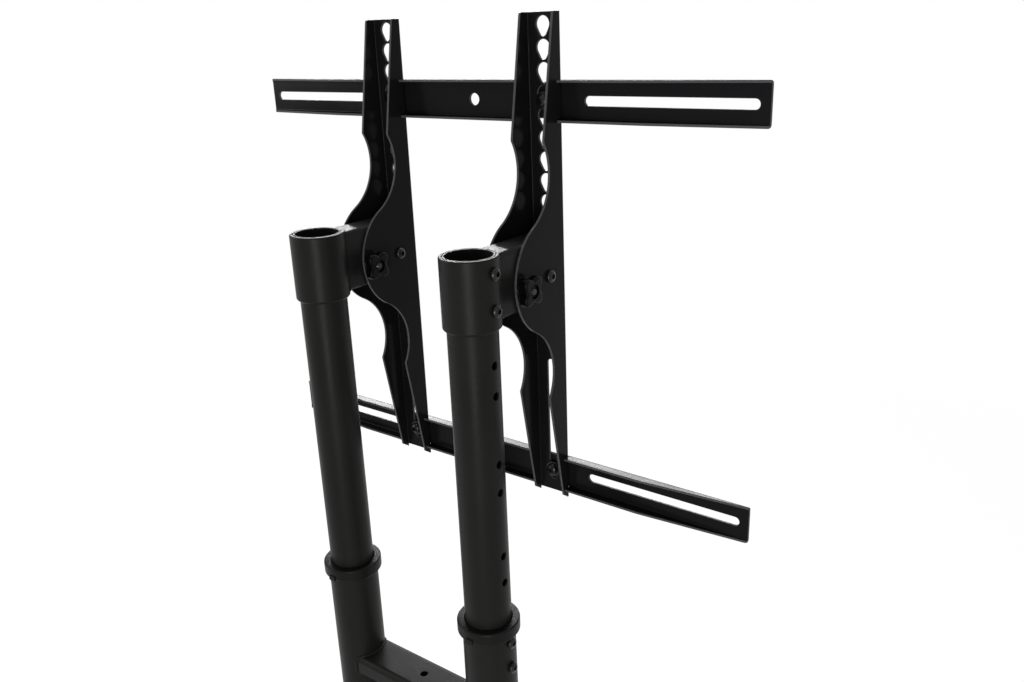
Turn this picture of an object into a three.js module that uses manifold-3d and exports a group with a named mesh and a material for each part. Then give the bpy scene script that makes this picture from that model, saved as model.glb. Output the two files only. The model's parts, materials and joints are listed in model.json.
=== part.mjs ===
// A floor stand for a television: two telescoping posts on a base, with a tilting mount on top.
// Millimetres, +Z up. The television hangs on the -Y side and the posts stand on the X axis.
// The origin lies on the floor, midway between the posts. Left is -X.

import * as THREE from "three";
import { mergeVertices } from "three/addons/utils/BufferGeometryUtils.js";
import Module from "manifold-3d";

// Clearances and cuts
const seatGap = 0.3; // between two pieces that touch on the real stand
const boltPlay = 0.4; // between a shank and its hole, all round
const overrun = 5; // how far a cutting shape runs past what it cuts
const weldTolerance = 0.0001; // vertices closer than this are one vertex

// Posts
const postSpacing = 206;
const upperTubeDiameter = 50;
const upperTubeWall = 2;
const lowerTubeDiameter = 57;
const lowerTubeWall = 2;
const postHeight = 606; // top rim of the lower tubes above the floor
const lockDepth = 33.6; // from that rim down to the middle of the two lock bolts
const holePairPitch = 103.2; // from one height setting to the next
const holePairSpacing = 31; // between the two holes of a pair
const heightSettings = 3; // hole pairs above the one in use
const tubeTopAboveHoles = 119.7; // from the highest pair to the top of the upper tube
const tubeTail = 72; // from the lowest pair to the bottom of the upper tube
const sideHoleShare = 0.33; // of a tube's radius, where the cut of a hole in its side begins

// Collar on the rim of each lower tube, and the bush on the tail of each upper tube
const collarDiameter = 67.4;
const collarHeight = 14;
const collarCap = 4; // thickness above the rim
const collarLinerLength = 9; // how far the liner hangs down between the tubes
const collarEdge = 1.6; // chamfer of its outer edges
const bushHeight = 18;
const bushPlugLength = 22;
const bushPlugWall = 3;

// Sleeve that clamps the mount to each upper tube
const sleeveWall = 3.4;
const sleeveHeight = 71;
const sleeveLip = 1.4; // rounding of the top edge
const sleeveFoot = 2.2; // chamfer of the bottom edge
const sleeveBoltSpacing = 35.3;
const sleeveBoltDepth = 32; // from the top rim to the middle of the two bolts

// Arm, a box section from each sleeve into its bracket
const armPlay = 0.6; // between the arm and each flange
const armWall = 2.5;
const armHeight = 65;
const armCorner = 5;
const armDrop = 2.6; // from the top of the sleeve to the top of the arm
const armReach = 10; // past the pivot, towards the television

// Bracket, a folded channel with scalloped flanges
const bracketWidth = 40;
const bracketSheet = 2.5;
const bracketBend = 1.5; // inside radius of the folds
const webDistance = 127.3; // from the posts' axes to the rear face of the web
const pivotDepth = 27; // from the rear face of the web to the pivot
const pivotDrop = 41.5; // from the top of the sleeve to the pivot
const bellyRadius = 61;
const bellyDepth = 22; // from the rear face of the web to the middle of the belly
const neckDepth = 22.5; // flange depth in the hollow of each scallop
const scallopOffset = 102.5; // from the pivot to the middle of each scallop
const shoulderDepth = 31;
const bumpDepth = 31;
const topDepth = 11;
const footDepth = 9.5;
const footSlant = 7; // how much lower the foot is at the web than at its rear edge
const footBelowRail = 10.7;
const webFootRise = 4; // how much higher the web ends than the tips of the flanges

// Keyholes and slot in the web
const keyholeCount = 9;
const keyholesAboveRail = 3;
const keyholePitch = 21.3;
const keyholeHeadRadius = 7.6;
const keyholeNeckRadius = 4.3;
const keyholeRise = 7; // from the neck's centre to the head's centre
const webAboveKeyholes = 3.5;
const webSlotTopDrop = 105.8; // from the pivot to the top of the long slot
const webSlotTail = 8; // from the lower rail bolt to the bottom of the slot
const webSlotWidth = 8.8;

// Tilt lock: a knob on a bolt that runs in an arc slot round the pivot
const knobOffset = 47; // from the pivot back to the knob's bolt
const knobDrop = 3; // degrees that the knob's bolt lies below the level of the pivot
const tiltForward = 15; // degrees, top of the television towards the viewer
const tiltBack = 8; // degrees, the other way
const tiltSpare = 2; // degrees of slot left over at each end
const knobBossDiameter = 18;
const knobBossHeight = 3;
const knobHubDiameter = 22;
const knobLobes = 4;
const knobLobeDiameter = 13;
const knobReach = 17; // from the axis to the tip of a lobe
const knobThickness = 10;
const knobChamfer = 1.5;

// Rails that carry the television
const railLength = 638;
const railHeight = 40;
const railSheet = 2.5;
const railBend = 1.5; // inside radius of the folds
const railLip = 10.5; // how far the lips reach behind the web, towards the posts
const railLipEnd = 1.5; // the same at the ends of the rail
const railLipStraight = 200; // from the middle of the rail to where the lips start to taper
const railNotchPlay = 0.4; // between a bracket and the lips on each side of it
const railNotchEdge = 0.5; // between the fold and the notch
const railShift = 13; // the rails sit this far towards the left
const upperRailRise = 168; // from the pivot
const lowerRailDrop = 232; // from the pivot
const railSlotInner = 135; // from the middle of the rail to the near end of a slot
const railSlotOuter = 309;
const railSlotHeight = 9.2;
const railCorner = 3;
const railCentreHole = 12;

// Fasteners
const shankDiameter = 7.8;
const headDiameter = 13;
const headHeight = 5;
const headRim = 1.5;
const washerDiameter = 18;
const washerThickness = 1.6;
const nutWidth = 13;
const nutHeight = 6.5;
const domeShares = [0, 0.5, 1]; // of the quarter turn from a head's rim to its top
const threadEnd = 2; // how far a bolt stands out of its nut
const carriageHeadDiameter = 17;
const carriageHeadHeight = 4;

// Crossbar between the lower tubes
const crossbarBelowRim = 118.6; // from the rim of the lower tubes to the top of the crossbar
const crossbarDepth = 49;
const crossbarHeight = 25;
const crossbarWall = 2;
const crossbarCorner = 7;
const crossbarHole = 9;

// Base
const baseTubeWall = 2;
const baseTubeHeight = 30;
const baseTubeCorner = 4;
const footRailWidth = 40;
const footRailLength = 494;
const footRailSpread = 640; // between the middles of the two foot rails
const baseBeamDepth = 70;
const capThickness = 3;
const capPlugLength = 16;
const capPlugWall = 2.5;
const padDiameter = 32;
const padHeight = 6;
const padInset = 40; // from the end of a foot rail to the middle of a pad
const padEdge = 1.5;

// Facets
const tubeSides = 30;
const boltSides = 12;
const arcSteps = 8;
const holeSteps = 4;
const bendSteps = 2;
const hexSides = 6;

// Materials
const finish = (color, roughness, metalness) =>
  new THREE.MeshStandardMaterial({ color, roughness, metalness });
const tubeCoat = finish(0x343331, 0.45, 0.3);
const sheetCoat = finish(0x17181a, 0.42, 0.3);
const blackPlastic = finish(0x1b1b1c, 0.5, 0);
const boltSteel = finish(0x111112, 0.25, 0.7);
const rubber = finish(0x151515, 0.85, 0);

const wasm = await Module();
wasm.setup();

const X = new THREE.Vector3(1, 0, 0);
const Y = new THREE.Vector3(0, 1, 0);
const Z = new THREE.Vector3(0, 0, 1);
const sides = [
  { name: "left", sign: -1 },
  { name: "right", sign: 1 },
];

// Solids

function solid(geometry) {
  geometry.deleteAttribute("normal");
  geometry.deleteAttribute("uv");
  const merged = mergeVertices(geometry, weldTolerance);
  return new wasm.Manifold(
    new wasm.Mesh({
      numProp: 3,
      vertProperties: merged.attributes.position.array,
      triVerts: new Uint32Array(merged.index.array),
    }),
  );
}

function block(x0, x1, y0, y1, z0, z1) {
  const shape = new THREE.BoxGeometry(x1 - x0, y1 - y0, z1 - z0);
  return solid(shape.translate((x0 + x1) / 2, (y0 + y1) / 2, (z0 + z1) / 2));
}

// A rod from one end to the other along the direction of an axis through a point.
function rod(axis, radius, from, to, centre = [0, 0], count = boltSides) {
  const shape = new THREE.CylinderGeometry(radius, radius, to - from, count);
  shape.translate(0, (from + to) / 2, 0);
  if (axis === X) shape.rotateZ(-Math.PI / 2).translate(0, ...centre);
  if (axis === Y) shape.translate(centre[0], 0, centre[1]);
  if (axis === Z) shape.rotateX(Math.PI / 2).translate(...centre, 0);
  return solid(shape);
}

// An outline drawn in the two axes other than the given one, and pulled along it.
function extrude(axis, outline, from, to, steps = arcSteps) {
  const shape = new THREE.ExtrudeGeometry(outline, {
    depth: to - from,
    bevelEnabled: false,
    curveSegments: steps,
  });
  const frame = new THREE.Matrix4();
  if (axis === X) shape.applyMatrix4(frame.makeBasis(Y, Z, X)).translate(from, 0, 0);
  if (axis === Y) shape.applyMatrix4(frame.makeBasis(X, Z, Y.clone().negate())).translate(0, to, 0);
  if (axis === Z) shape.translate(0, 0, from);
  return solid(shape);
}

// A profile of radius and height turned round the Z axis.
function turn(points, count = tubeSides) {
  const profile = points.map(([radius, height]) => new THREE.Vector2(radius, height));
  return solid(new THREE.LatheGeometry(profile, count).rotateX(Math.PI / 2));
}

function tube(outerRadius, innerRadius, bottom, top) {
  const corner = [innerRadius, bottom];
  return turn([corner, [outerRadius, bottom], [outerRadius, top], [innerRadius, top], corner]);
}

function roundedBox(width, height, corner) {
  const w = width / 2;
  const h = height / 2;
  return new THREE.Shape()
    .absarc(w - corner, h - corner, corner, 0, Math.PI / 2)
    .absarc(corner - w, h - corner, corner, Math.PI / 2, Math.PI)
    .absarc(corner - w, corner - h, corner, Math.PI, 1.5 * Math.PI)
    .absarc(w - corner, corner - h, corner, 1.5 * Math.PI, 2 * Math.PI);
}

// A box section with rounded corners, centred on its axis.
function boxSection(axis, width, height, corner, wall, from, to) {
  const outside = extrude(axis, roundedBox(width, height, corner), from, to, bendSteps);
  const bore = roundedBox(width - 2 * wall, height - 2 * wall, corner - wall);
  return outside.subtract(extrude(axis, bore, from - overrun, to + overrun, bendSteps));
}

// A slot with round ends between two points that lie one above or beside the other.
function slotOutline(u0, v0, u1, v1, radius) {
  const along = Math.atan2(v1 - v0, u1 - u0);
  return new THREE.Shape()
    .absarc(u1, v1, radius, along - Math.PI / 2, along + Math.PI / 2)
    .absarc(u0, v0, radius, along + Math.PI / 2, along + 1.5 * Math.PI);
}

function add(group, name, body, material, place = {}) {
  const made = body.getMesh();
  const geometry = new THREE.BufferGeometry();
  geometry.setAttribute("position", new THREE.BufferAttribute(made.vertProperties, made.numProp));
  geometry.setIndex(new THREE.BufferAttribute(made.triVerts, 1));
  geometry.computeVertexNormals();
  const mesh = new THREE.Mesh(geometry, material);
  mesh.name = name;
  if (place.at) mesh.position.set(...place.at);
  if (place.facing) mesh.quaternion.setFromUnitVectors(Z, place.facing);
  group.add(mesh);
  return mesh;
}

// Fasteners, drawn with the head above z = 0 and the shank below

// A round head on a short rim.
function buttonBolt(length) {
  const shank = shankDiameter / 2;
  const head = headDiameter / 2;
  const dome = domeShares.map((share) => {
    const angle = (share * Math.PI) / 2;
    return [head * Math.cos(angle), headRim + (headHeight - headRim) * Math.sin(angle)];
  });
  return turn([[0, -length], [shank, -length], [shank, 0], [head, 0], ...dome], boltSides);
}

// A low round head without a drive.
function carriageBolt(length) {
  const shank = shankDiameter / 2;
  const dome = domeShares.map((share) => {
    const angle = (share * Math.PI) / 2;
    return [(carriageHeadDiameter / 2) * Math.cos(angle), carriageHeadHeight * Math.sin(angle)];
  });
  return turn([[0, -length], [shank, -length], [shank, 0], ...dome], boltSides);
}

function nut() {
  const width = nutWidth / 2 / Math.cos(Math.PI / hexSides);
  const blank = rod(Z, width, 0, nutHeight, [0, 0], hexSides);
  return blank.subtract(rod(Z, boltHole, -overrun, nutHeight + overrun));
}

function washer() {
  return tubeOf(washerDiameter / 2, boltHole, washerThickness);
}

function tubeOf(outerRadius, innerRadius, height) {
  const blank = rod(Z, outerRadius, 0, height);
  return blank.subtract(rod(Z, innerRadius, -overrun, height + overrun));
}

// Places worked out from the sizes

const upperTubeRadius = upperTubeDiameter / 2;
const lowerTubeRadius = lowerTubeDiameter / 2;
const lowerBoreRadius = lowerTubeRadius - lowerTubeWall;
const boltHole = shankDiameter / 2 + boltPlay;
const lockHeight = postHeight - lockDepth;
const upperTubeTop = lockHeight + heightSettings * holePairPitch + tubeTopAboveHoles;
const upperTubeLength = heightSettings * holePairPitch + tubeTopAboveHoles + tubeTail;
const sleeveBore = upperTubeRadius + seatGap;
const sleeveRadius = sleeveBore + sleeveWall;
const pivotY = pivotDepth - webDistance;
const pivotHeight = upperTubeTop - pivotDrop;
const armWidth = bracketWidth - 2 * bracketSheet - 2 * armPlay;
const baseTop = padHeight + seatGap + baseTubeHeight;
const crossbarTop = postHeight - crossbarBelowRim;
const knobSink = THREE.MathUtils.degToRad(knobDrop);
const knobBack = knobOffset * Math.cos(knobSink);
const knobBelow = knobOffset * Math.sin(knobSink);

const stand = new THREE.Group();

// Base

function buildBase(group) {
  const beamHalf = footRailSpread / 2 - footRailWidth / 2 - seatGap;
  const beam = boxSection(
    X, baseBeamDepth, baseTubeHeight, baseTubeCorner, baseTubeWall, -beamHalf, beamHalf,
  );
  const middle = baseTop - baseTubeHeight / 2;
  add(group, "base_beam", beam, tubeCoat, { at: [0, 0, middle] });

  for (const { name, sign } of sides) {
    const x = (sign * footRailSpread) / 2;
    const half = footRailLength / 2;
    const rail = boxSection(
      Y, footRailWidth, baseTubeHeight, baseTubeCorner, baseTubeWall, -half, half,
    );
    add(group, `foot_rail_${name}`, rail, tubeCoat, { at: [x, 0, middle] });
    for (const [end, toward] of [["front", -1], ["rear", 1]]) {
      const facing = new THREE.Vector3(0, toward, 0);
      add(group, `end_cap_${name}_${end}`, endCap(), blackPlastic, {
        at: [x, toward * (half + seatGap), middle],
        facing,
      });
      add(group, `foot_pad_${name}_${end}`, footPad(), rubber, {
        at: [x, toward * (half - padInset), 0],
      });
    }
  }
}

// A moulded plug for the end of a foot rail, its face above z = 0. Its width lies along X.
function endCap() {
  const cap = extrude(
    Z, roundedBox(footRailWidth, baseTubeHeight, baseTubeCorner), 0, capThickness, bendSteps,
  );
  const fit = baseTubeWall + seatGap;
  const width = footRailWidth - 2 * fit;
  const height = baseTubeHeight - 2 * fit;
  const corner = baseTubeCorner - baseTubeWall;
  const plug = extrude(Z, roundedBox(width, height, corner), -capPlugLength, capThickness / 2, bendSteps);
  const hollow = extrude(
    Z,
    roundedBox(width - 2 * capPlugWall, height - 2 * capPlugWall, corner / 2),
    -capPlugLength - overrun,
    0,
    bendSteps,
  );
  return cap.add(plug.subtract(hollow));
}

function footPad() {
  const radius = padDiameter / 2;
  return turn(
    [[0, 0], [radius - padEdge, 0], [radius, padEdge], [radius, padHeight], [0, padHeight]],
    boltSides,
  );
}

function buildLowerPosts(group) {
  const bar = boxSection(
    X,
    crossbarDepth,
    crossbarHeight,
    crossbarCorner,
    crossbarWall,
    -postSpacing / 2,
    postSpacing / 2,
  );
  const saddles = [-1, 1].map((sign) =>
    rod(
      Z,
      lowerTubeRadius + seatGap,
      -crossbarHeight,
      crossbarHeight,
      [(sign * postSpacing) / 2, 0],
      tubeSides,
    ),
  );
  const screwHole = rod(Z, crossbarHole / 2, -crossbarHeight, crossbarHeight);
  const cutBar = wasm.Manifold.difference([bar, ...saddles, screwHole]);
  add(group, "crossbar", largest(cutBar), tubeCoat, {
    at: [0, 0, crossbarTop - crossbarHeight / 2],
  });

  for (const { name, sign } of sides) {
    const x = (sign * postSpacing) / 2;
    const bottom = baseTop + seatGap;
    const post = tube(lowerTubeRadius, lowerBoreRadius, bottom, postHeight);
    const holes = pairHeights(lockHeight, holePairSpacing).map((height) =>
      sideHole(sign, lowerTubeRadius, height),
    );
    add(group, `lower_tube_${name}`, wasm.Manifold.difference([post, ...holes]), tubeCoat, {
      at: [x, 0, 0],
    });
    add(group, `collar_${name}`, collar(), blackPlastic, { at: [x, 0, postHeight] });
    const tip = upperTubeRadius + seatGap;
    pairHeights(lockHeight, holePairSpacing).forEach((height, index) => {
      const seat = lowerTubeRadius + seatGap;
      add(group, `lock_bolt_${name}_${index + 1}`, buttonBolt(seat - tip), boltSteel, {
        at: [x + sign * seat, 0, height],
        facing: new THREE.Vector3(sign, 0, 0),
      });
    });
  }
}

// The piece of the greatest volume, where a cut leaves slivers behind it.
function largest(body) {
  return body.decompose().reduce((best, piece) => (piece.volume() > best.volume() ? piece : best));
}

function pairHeights(middle, spacing) {
  return [middle + spacing / 2, middle - spacing / 2];
}

// A bolt hole through one wall of a tube, on its outer side.
function sideHole(sign, radius, height) {
  const near = radius * sideHoleShare;
  const far = radius + overrun;
  return rod(X, boltHole, Math.min(sign * near, sign * far), Math.max(sign * near, sign * far), [
    0,
    height,
  ]);
}

// A moulded ring that sits on the rim at z = 0, with a thin liner between the two tubes.
function collar() {
  const outer = collarDiameter / 2;
  const inner = upperTubeRadius + seatGap;
  const skirt = lowerTubeRadius + seatGap;
  const liner = lowerBoreRadius - seatGap;
  const top = collarCap;
  const bottom = collarCap - collarHeight;
  const start = [inner, top - collarEdge];
  return turn([
    start,
    [inner, -collarLinerLength],
    [liner, -collarLinerLength],
    [liner, seatGap],
    [skirt, seatGap],
    [skirt, bottom],
    [outer - collarEdge, bottom],
    [outer, bottom + collarEdge],
    [outer, top - collarEdge],
    [outer - collarEdge, top],
    [inner + collarEdge, top],
    start,
  ]);
}

// Carriage: the upper tubes with what is fixed to them. Its origin is the top of the tubes.

function buildCarriage(group) {
  for (const { name, sign } of sides) {
    const x = (sign * postSpacing) / 2;
    const at = [x, 0, 0];
    add(group, `upper_tube_${name}`, upperTube(sign), tubeCoat, { at });
    add(group, `guide_bush_${name}`, guideBush(), blackPlastic, { at: [x, 0, -upperTubeLength] });
    add(group, `sleeve_${name}`, sleeve(sign), tubeCoat, { at });
    add(group, `arm_${name}`, arm(), tubeCoat, { at });
    const boltLength = sleeveWall + 2 * seatGap + upperTubeWall + threadEnd;
    pairHeights(-sleeveBoltDepth, sleeveBoltSpacing).forEach((height, index) => {
      add(group, `sleeve_bolt_${name}_${index + 1}`, buttonBolt(boltLength), boltSteel, {
        at: [x + sign * (sleeveRadius + seatGap), 0, height],
        facing: new THREE.Vector3(sign, 0, 0),
      });
    });
    addTiltHardware(group, name, x);
  }
}

function upperTube(sign) {
  const body = tube(upperTubeRadius, upperTubeRadius - upperTubeWall, -upperTubeLength, 0);
  const highest = -tubeTopAboveHoles;
  const settings = Array.from({ length: heightSettings + 1 }, (_, i) => highest - i * holePairPitch);
  const heights = [
    ...settings.flatMap((middle) => pairHeights(middle, holePairSpacing)),
    ...pairHeights(-sleeveBoltDepth, sleeveBoltSpacing),
  ];
  const holes = heights.map((height) => sideHole(sign, upperTubeRadius, height));
  return wasm.Manifold.difference([body, ...holes]);
}

// A moulded ring below the end of the upper tube, with a plug that grips its bore.
function guideBush() {
  const outer = lowerBoreRadius - seatGap;
  const plug = upperTubeRadius - upperTubeWall - seatGap;
  const bore = plug - bushPlugWall;
  const start = [bore, -bushHeight - seatGap];
  return turn([
    start,
    [outer, -bushHeight - seatGap],
    [outer, -seatGap],
    [plug, -seatGap],
    [plug, bushPlugLength],
    [bore, bushPlugLength],
    start,
  ]);
}

function sleeve(sign) {
  const lip = domeShares.map((share) => {
    const angle = (share * Math.PI) / 2;
    return [
      sleeveRadius - sleeveLip + sleeveLip * Math.cos(angle),
      -sleeveLip + sleeveLip * Math.sin(angle),
    ];
  });
  const start = [sleeveBore, -sleeveHeight];
  const body = turn([
    start,
    [sleeveRadius - sleeveFoot, -sleeveHeight],
    [sleeveRadius, -sleeveHeight + sleeveFoot],
    ...lip,
    [sleeveBore, 0],
    start,
  ]);
  const holes = pairHeights(-sleeveBoltDepth, sleeveBoltSpacing).map((height) =>
    sideHole(sign, sleeveRadius, height),
  );
  return wasm.Manifold.difference([body, ...holes]);
}

// The box section, cut round to meet the sleeve, with bores for the pivot and the knob's bolt.
function arm() {
  const front = pivotY - armReach;
  const centre = -armDrop - armHeight / 2;
  const box = boxSection(Y, armWidth, armHeight, armCorner, armWall, front, 0);
  const round = rod(
    Z, sleeveRadius + seatGap, -armHeight, armHeight, [0, 0], tubeSides,
  );
  const places = [
    [pivotY, -pivotDrop],
    [pivotY + knobBack, -pivotDrop - knobBelow],
  ];
  const bores = places.map(([y, z]) =>
    rod(X, boltHole, -bracketWidth, bracketWidth, [y, z - centre]),
  );
  const body = wasm.Manifold.difference([box, round, ...bores]);
  return largest(body).translate([0, 0, centre]);
}

// Pivot bolt and knob bolt through the bracket and the arm.
function addTiltHardware(group, name, x) {
  const half = bracketWidth / 2;
  const toLeft = new THREE.Vector3(-1, 0, 0);
  const under = seatGap + washerThickness;
  const atPivot = (distance) => [x + distance, pivotY, -pivotDrop];
  const atKnob = (distance) => [x + distance, pivotY + knobBack, -pivotDrop - knobBelow];

  const pivotLength = 2 * (half + seatGap) + nutHeight + threadEnd;
  add(group, `pivot_bolt_${name}`, buttonBolt(pivotLength), boltSteel, {
    at: atPivot(-half - seatGap),
    facing: toLeft,
  });
  add(group, `pivot_nut_${name}`, nut(), boltSteel, {
    at: atPivot(half + seatGap),
    facing: X,
  });

  const stackUp = under + seatGap + knobBossHeight + knobThickness;
  add(group, `knob_bolt_${name}`, carriageBolt(2 * half + seatGap + stackUp), boltSteel, {
    at: atKnob(half + seatGap),
    facing: X,
  });
  add(group, `knob_washer_${name}`, washer(), boltSteel, {
    at: atKnob(-half - seatGap),
    facing: toLeft,
  });
  add(group, `tilt_knob_${name}`, knob(), blackPlastic, {
    at: atKnob(-half - under - seatGap),
    facing: toLeft,
  });
}

// A hand knob: a boss below and round lobes about a hub above.
function knob() {
  const top = knobBossHeight + knobThickness;
  const boss = rod(Z, knobBossDiameter / 2, 0, knobBossHeight + knobThickness / 2);
  const hub = chamfered(knobHubDiameter / 2, knobBossHeight, top);
  const lobeRadius = knobLobeDiameter / 2;
  const lobes = Array.from({ length: knobLobes }, (_, i) => {
    const angle = ((2 * i + 1) * Math.PI) / knobLobes;
    const away = knobReach - lobeRadius;
    const lobe = chamfered(lobeRadius, knobBossHeight, top);
    return lobe.translate([away * Math.cos(angle), away * Math.sin(angle), 0]);
  });
  const bore = rod(Z, boltHole, -overrun, top + overrun);
  return wasm.Manifold.union([boss, hub, ...lobes]).subtract(bore);
}

function chamfered(radius, bottom, top) {
  return turn(
    [
      [0, bottom],
      [radius - knobChamfer, bottom],
      [radius, bottom + knobChamfer],
      [radius, top - knobChamfer],
      [radius - knobChamfer, top],
      [0, top],
    ],
    boltSides,
  );
}

// Tilting frame: brackets and rails. Its origin is on the pivot axis, midway between the posts.

const webRear = -pivotDepth;
const webFront = webRear - bracketSheet;
const railRear = webFront - seatGap;
const railFront = railRear - railSheet;

function buildTiltingFrame(group) {
  for (const { name, sign } of sides) {
    const x = (sign * postSpacing) / 2;
    add(group, `bracket_${name}`, bracket(), sheetCoat, { at: [x, 0, 0] });
    addRailBolts(group, `upper_${name}`, x, upperRailRise);
    addRailBolts(group, `lower_${name}`, x, -lowerRailDrop);
  }
  add(group, "upper_rail", rail(true), sheetCoat, { at: [-railShift, 0, upperRailRise] });
  add(group, "lower_rail", rail(false), sheetCoat, { at: [-railShift, 0, -lowerRailDrop] });
}

// The channel's cross-section, folded at the two front corners.
function channelOutline() {
  const half = bracketWidth / 2;
  const back = bellyRadius + overrun;
  const inside = half - bracketSheet;
  const outerBend = bracketBend + bracketSheet;
  return new THREE.Shape()
    .moveTo(-half, back)
    .absarc(outerBend - half, webFront + outerBend, outerBend, Math.PI, 1.5 * Math.PI)
    .absarc(half - outerBend, webFront + outerBend, outerBend, 1.5 * Math.PI, 2 * Math.PI)
    .lineTo(half, back)
    .lineTo(inside, back)
    .absarc(inside - bracketBend, webRear + bracketBend, bracketBend, 0, -Math.PI / 2, true)
    .absarc(bracketBend - inside, webRear + bracketBend, bracketBend, -Math.PI / 2, -Math.PI, true)
    .lineTo(-inside, back);
}

// The side view of a flange: a belly round the pivot between two scallops that touch it.
function flangeOutline() {
  const lean = neckDepth - bellyDepth;
  const radius =
    (lean ** 2 + scallopOffset ** 2 - bellyRadius ** 2) / (2 * (bellyRadius - lean));
  const away = lean + radius;
  const meet = Math.atan2(scallopOffset, away);
  const belly = bellyDepth - pivotDepth;
  const centre = belly + away;
  const lipAngle = (depth) => Math.acos((centre - (depth - pivotDepth)) / radius);
  return new THREE.Shape()
    .moveTo(webFront, bracketTop)
    .lineTo(topDepth - pivotDepth, bracketTop)
    .absarc(centre, scallopOffset, radius, Math.PI - lipAngle(shoulderDepth), Math.PI + meet)
    .absarc(belly, 0, bellyRadius, meet, -meet, true)
    .absarc(centre, -scallopOffset, radius, Math.PI - meet, Math.PI + lipAngle(bumpDepth))
    .lineTo(footDepth - pivotDepth, bracketBottom + footSlant)
    .lineTo(webFront, bracketBottom);
}

const bracketTop =
  upperRailRise +
  keyholesAboveRail * keyholePitch +
  keyholeRise +
  keyholeHeadRadius +
  webAboveKeyholes;
const bracketBottom = -lowerRailDrop - railHeight / 2 - footBelowRail;

// A teardrop with its neck at the origin and its round head above.
function keyholeOutline(height) {
  const lean = Math.asin((keyholeHeadRadius - keyholeNeckRadius) / keyholeRise);
  return new THREE.Shape()
    .absarc(0, height + keyholeRise, keyholeHeadRadius, -lean, Math.PI + lean)
    .absarc(0, height, keyholeNeckRadius, Math.PI + lean, 2 * Math.PI - lean);
}

// The arc round the pivot that the knob's bolt runs in.
function tiltSlotOutline() {
  const up = THREE.MathUtils.degToRad(tiltBack + tiltSpare) - knobSink;
  const down = -THREE.MathUtils.degToRad(tiltForward + tiltSpare) - knobSink;
  const end = (angle) => [knobOffset * Math.cos(angle), knobOffset * Math.sin(angle)];
  return new THREE.Shape()
    .absarc(0, 0, knobOffset + boltHole, down, up)
    .absarc(...end(up), boltHole, up, up + Math.PI)
    .absarc(0, 0, knobOffset - boltHole, up, down, true)
    .absarc(...end(down), boltHole, down - Math.PI, down);
}

function bracket() {
  const half = bracketWidth / 2;
  const channel = extrude(
    Z, channelOutline(), bracketBottom - overrun, bracketTop + overrun, bendSteps,
  );
  const side = extrude(X, flangeOutline(), -half - overrun, half + overrun);
  const throughWeb = (outline, steps) =>
    extrude(Y, outline, webFront - overrun, webRear + bracketSheet, steps);
  const keyholes = Array.from({ length: keyholeCount }, (_, i) =>
    throughWeb(keyholeOutline(upperRailRise + (keyholesAboveRail - i) * keyholePitch), holeSteps),
  );
  const webSlot = throughWeb(
    slotOutline(0, -lowerRailDrop - webSlotTail, 0, -webSlotTopDrop, webSlotWidth / 2),
    holeSteps,
  );
  const tiltSlot = extrude(X, tiltSlotOutline(), -half - overrun, half + overrun, holeSteps);
  const pivot = rod(X, boltHole, -half - overrun, half + overrun);
  const inside = half - bracketSheet;
  const foot = block(
    -inside,
    inside,
    webFront - overrun,
    webRear + bracketBend,
    bracketBottom - overrun,
    bracketBottom + webFootRise,
  );
  const cuts = [...keyholes, webSlot, tiltSlot, pivot, foot];
  return wasm.Manifold.difference([channel.intersect(side), ...cuts]);
}

// The cross-section of a rail, with the rear face of its web at y = 0.
function railSection() {
  const half = railHeight / 2;
  const inside = half - railSheet;
  const outerBend = railBend + railSheet;
  const bendDepth = outerBend - railSheet;
  return new THREE.Shape()
    .moveTo(railLip, half)
    .absarc(bendDepth, half - outerBend, outerBend, Math.PI / 2, Math.PI)
    .absarc(bendDepth, outerBend - half, outerBend, Math.PI, 1.5 * Math.PI)
    .lineTo(railLip, -half)
    .lineTo(railLip, -inside)
    .absarc(railBend, railBend - inside, railBend, -Math.PI / 2, -Math.PI, true)
    .absarc(railBend, inside - railBend, railBend, Math.PI, Math.PI / 2, true)
    .lineTo(railLip, inside);
}

// A rail seen from above: its lips taper towards both ends.
function railPlan() {
  const end = railLength / 2;
  return new THREE.Shape()
    .moveTo(-end, -railSheet)
    .lineTo(end, -railSheet)
    .lineTo(end, railLipEnd)
    .lineTo(railLipStraight, railLip)
    .lineTo(-railLipStraight, railLip)
    .lineTo(-end, railLipEnd);
}

// A channel that is open towards the posts. Its lips are notched where the brackets cross it.
function rail(hasCentreHole) {
  const length = railLength / 2;
  const half = railHeight / 2;
  const front = -railSheet - overrun;
  const back = railLip + overrun;
  const channel = extrude(X, railSection(), -length, length, bendSteps);
  const face = extrude(Y, roundedBox(railLength, railHeight, railCorner), front, back, bendSteps);
  const plan = extrude(Z, railPlan(), -railHeight, railHeight);
  const slots = [-1, 1].map((sign) => {
    const radius = railSlotHeight / 2;
    const inner = sign * (railSlotInner + radius);
    const outer = sign * (railSlotOuter - radius);
    const outline = slotOutline(Math.min(inner, outer), 0, Math.max(inner, outer), 0, radius);
    return extrude(Y, outline, front, back, holeSteps);
  });
  const crossings = sides.map(({ sign }) => (sign * postSpacing) / 2 + railShift);
  const bracketHoles = crossings.map((x) => rod(Y, boltHole, front, back, [x, 0]));
  const notchHalf = bracketWidth / 2 + railNotchPlay;
  const web = half - railBend - railSheet - railNotchEdge;
  const notches = crossings.flatMap((x) => [
    block(x - notchHalf, x + notchHalf, front, back, web, railHeight),
    block(x - notchHalf, x + notchHalf, front, back, -railHeight, -web),
  ]);
  const cuts = [...slots, ...bracketHoles, ...notches];
  if (hasCentreHole) cuts.push(rod(Y, railCentreHole / 2, front, back));
  const sheet = channel.intersect(face).intersect(plan);
  return wasm.Manifold.difference([sheet, ...cuts]).translate([0, railRear, 0]);
}

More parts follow.
